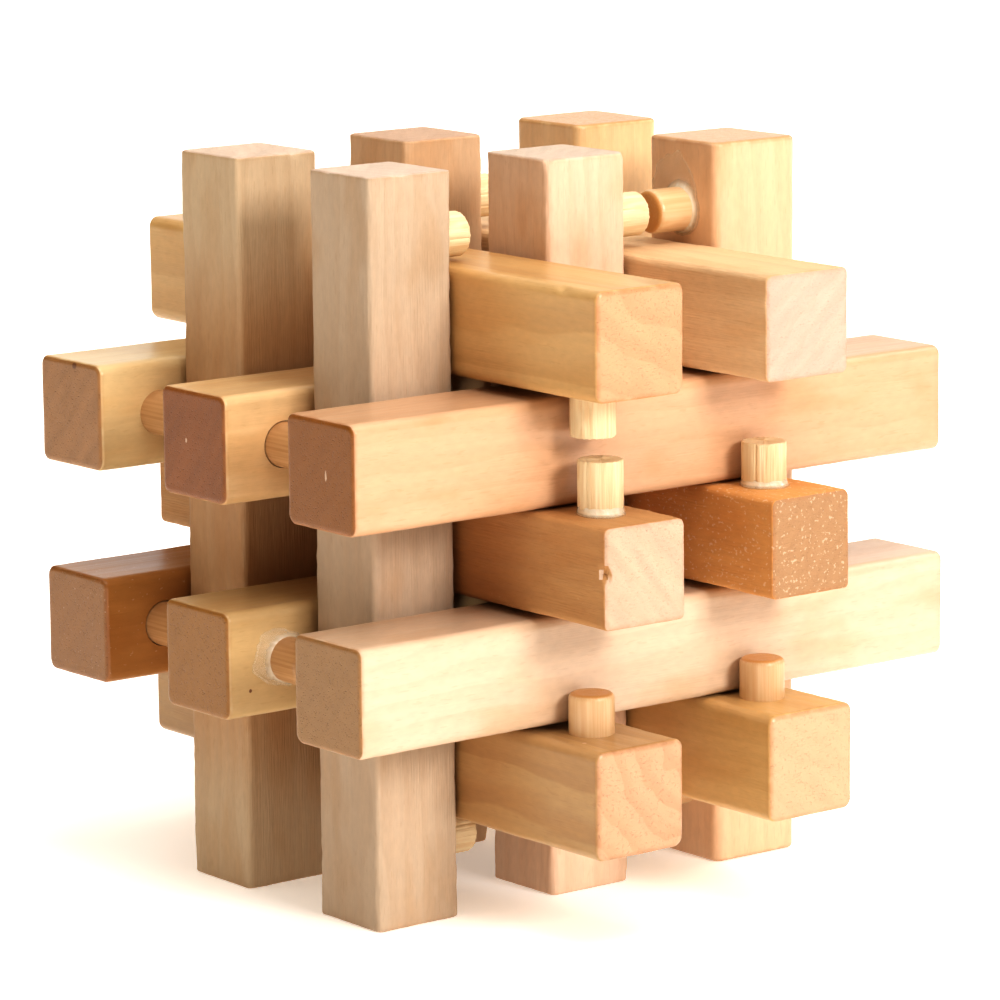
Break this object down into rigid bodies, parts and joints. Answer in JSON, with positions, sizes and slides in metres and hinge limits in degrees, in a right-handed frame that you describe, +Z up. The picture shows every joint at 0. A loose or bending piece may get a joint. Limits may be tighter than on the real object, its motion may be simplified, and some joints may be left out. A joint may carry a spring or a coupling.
{
  "type": "wooden burr puzzle",
  "caption": "Cube-shaped interlocking burr puzzle of plain square wooden bars in a three-way lattice, with short dowel pegs as end stops and one pegless key bar that slides out.",
  "frame": {"origin": "on the standing plane, under the middle of the lattice", "axes": "+X to the right, along the rails; +Y to the back, along the beams and the key bar; +Z up, along the uprights"},
  "size_m": [0.1014, 0.1021, 0.1],
  "materials": {
    "varnished_golden_wood": "satin varnish",
    "varnished_orange_wood": "satin varnish",
    "varnished_tan_wood": "satin varnish",
    "varnished_brown_wood": "satin varnish",
    "varnished_cream_wood": "satin varnish",
    "sawn_pale_wood": "bare, fine-sawn",
    "sawn_peach_wood": "bare, fine-sawn",
    "sawn_red_wood": "bare, rough-sawn",
    "bare_dowel": "bare, split-grain dowel",
    "varnished_dowel": "varnished dowel",
    "dried_glue": "glossy, translucent"
  },
  "bodies": {
    "upright_front_left": {"upright_front_left": "sawn_peach_wood", "upright_front_left_peg_bottom": "bare_dowel", "upright_front_left_peg_top": "bare_dowel"},
    "upright_back_left": {"upright_back_left": "sawn_peach_wood", "upright_back_left_peg_bottom": "bare_dowel", "upright_back_left_peg_top": "bare_dowel"},
    "upright_front_middle": {"upright_front_middle": "sawn_pale_wood", "upright_front_middle_peg_bottom": "bare_dowel", "upright_front_middle_peg_top": "bare_dowel"},
    "upright_back_middle": {"upright_back_middle": "sawn_red_wood", "upright_back_middle_glue_top": "dried_glue", "upright_back_middle_peg_bottom": "bare_dowel", "upright_back_middle_peg_top": "bare_dowel"},
    "upright_front_right": {"upright_front_right": "varnished_cream_wood", "upright_front_right_glue_top": "dried_glue", "upright_front_right_peg_bottom": "varnished_dowel", "upright_front_right_peg_top": "varnished_dowel"},
    "upright_back_right": {"upright_back_right": "varnished_cream_wood", "upright_back_right_peg_bottom": "varnished_dowel", "upright_back_right_peg_top": "varnished_dowel"},
    "rail_upper_front": {"rail_upper_front": "varnished_golden_wood", "rail_upper_front_peg_left": "varnished_dowel", "rail_upper_front_peg_right": "varnished_dowel"},
    "rail_upper_middle": {"rail_upper_middle": "varnished_orange_wood", "rail_upper_middle_peg_left": "varnished_dowel", "rail_upper_middle_peg_right": "varnished_dowel"},
    "rail_upper_back": {"rail_upper_back": "varnished_tan_wood", "rail_upper_back_peg_left": "varnished_dowel", "rail_upper_back_peg_right": "varnished_dowel"},
    "rail_lower_front": {"rail_lower_front": "varnished_cream_wood", "rail_lower_front_peg_left": "varnished_dowel", "rail_lower_front_peg_right": "varnished_dowel"},
    "rail_lower_middle": {"rail_lower_middle": "varnished_tan_wood", "rail_lower_middle_glue_left": "dried_glue", "rail_lower_middle_peg_left": "varnished_dowel", "rail_lower_middle_peg_right": "varnished_dowel"},
    "rail_lower_back": {"rail_lower_back": "varnished_brown_wood", "rail_lower_back_peg_left": "varnished_dowel", "rail_lower_back_peg_right": "varnished_dowel"},
    "beam_top_left": {"beam_top_left": "varnished_golden_wood", "beam_top_left_peg_back": "bare_dowel", "beam_top_left_peg_front": "bare_dowel"},
    "key_bar": {"key_bar": "sawn_pale_wood"},
    "beam_middle_left": {"beam_middle_left": "sawn_pale_wood", "beam_middle_left_peg_back": "bare_dowel", "beam_middle_left_peg_front": "bare_dowel"},
    "beam_middle_right": {"beam_middle_right": "sawn_red_wood", "beam_middle_right_peg_back": "bare_dowel", "beam_middle_right_peg_front": "bare_dowel"},
    "beam_bottom_left": {"beam_bottom_left": "varnished_orange_wood", "beam_bottom_left_peg_back": "varnished_dowel", "beam_bottom_left_peg_front": "varnished_dowel"},
    "beam_bottom_right": {"beam_bottom_right": "varnished_golden_wood", "beam_bottom_right_peg_back": "varnished_dowel", "beam_bottom_right_peg_front": "varnished_dowel"}
  },
  "joints": [
    {"name": "upright_back_left_slide", "type": "slide", "parent": "upright_front_left", "child": "upright_back_left", "axis": [0, 0, 1], "range_m": [-0.0004, 0]},
    {"name": "upright_front_middle_slide", "type": "slide", "parent": "upright_front_left", "child": "upright_front_middle", "axis": [0, 0, 1], "range_m": [-0.0013, 0]},
    {"name": "upright_back_middle_slide", "type": "slide", "parent": "upright_front_left", "child": "upright_back_middle", "axis": [0, 0, 1], "range_m": [-0.0013, 0]},
    {"name": "upright_front_right_slide", "type": "slide", "parent": "upright_front_left", "child": "upright_front_right", "axis": [0, 0, 1], "range_m": [-0.0013, 0]},
    {"name": "upright_back_right_slide", "type": "slide", "parent": "upright_front_left", "child": "upright_back_right", "axis": [0, 0, 1], "range_m": [-0.0013, 0]},
    {"name": "rail_upper_front_slide", "type": "slide", "parent": "upright_front_left", "child": "rail_upper_front", "axis": [1, 0, 0], "range_m": [-0.0008, 0.00175]},
    {"name": "rail_upper_middle_slide", "type": "slide", "parent": "upright_front_left", "child": "rail_upper_middle", "axis": [1, 0, 0], "range_m": [-0.0017, 0.00085]},
    {"name": "rail_upper_back_slide", "type": "slide", "parent": "upright_front_left", "child": "rail_upper_back", "axis": [1, 0, 0], "range_m": [-0.002, 0.00055]},
    {"name": "rail_lower_front_slide", "type": "slide", "parent": "upright_front_left", "child": "rail_lower_front", "axis": [1, 0, 0], "range_m": [-0.0014, 0.00115]},
    {"name": "rail_lower_middle_slide", "type": "slide", "parent": "upright_front_left", "child": "rail_lower_middle", "axis": [1, 0, 0], "range_m": [-0.0016, 0.00095]},
    {"name": "rail_lower_back_slide", "type": "slide", "parent": "upright_front_left", "child": "rail_lower_back", "axis": [1, 0, 0], "range_m": [-0.0022, 0.00035]},
    {"name": "beam_top_left_slide", "type": "slide", "parent": "upright_front_left", "child": "beam_top_left", "axis": [0, 1, 0], "range_m": [0, 0.001]},
    {"name": "key_bar_slide", "type": "slide", "parent": "upright_front_left", "child": "key_bar", "axis": [0, 1, 0], "range_m": [-0.105, 0.105]},
    {"name": "beam_middle_left_slide", "type": "slide", "parent": "upright_front_left", "child": "beam_middle_left", "axis": [0, 1, 0], "range_m": [-0.0001, 0.0025]},
    {"name": "beam_middle_right_slide", "type": "slide", "parent": "upright_front_left", "child": "beam_middle_right", "axis": [0, 1, 0], "range_m": [-0.0009, 0.0007]},
    {"name": "beam_bottom_left_slide", "type": "slide", "parent": "upright_front_left", "child": "beam_bottom_left", "axis": [0, 1, 0], "range_m": [-0.0002, 0.0004]},
    {"name": "beam_bottom_right_slide", "type": "slide", "parent": "upright_front_left", "child": "beam_bottom_right", "axis": [0, 1, 0], "range_m": [-0.0003, 0.0003]}
  ]
}
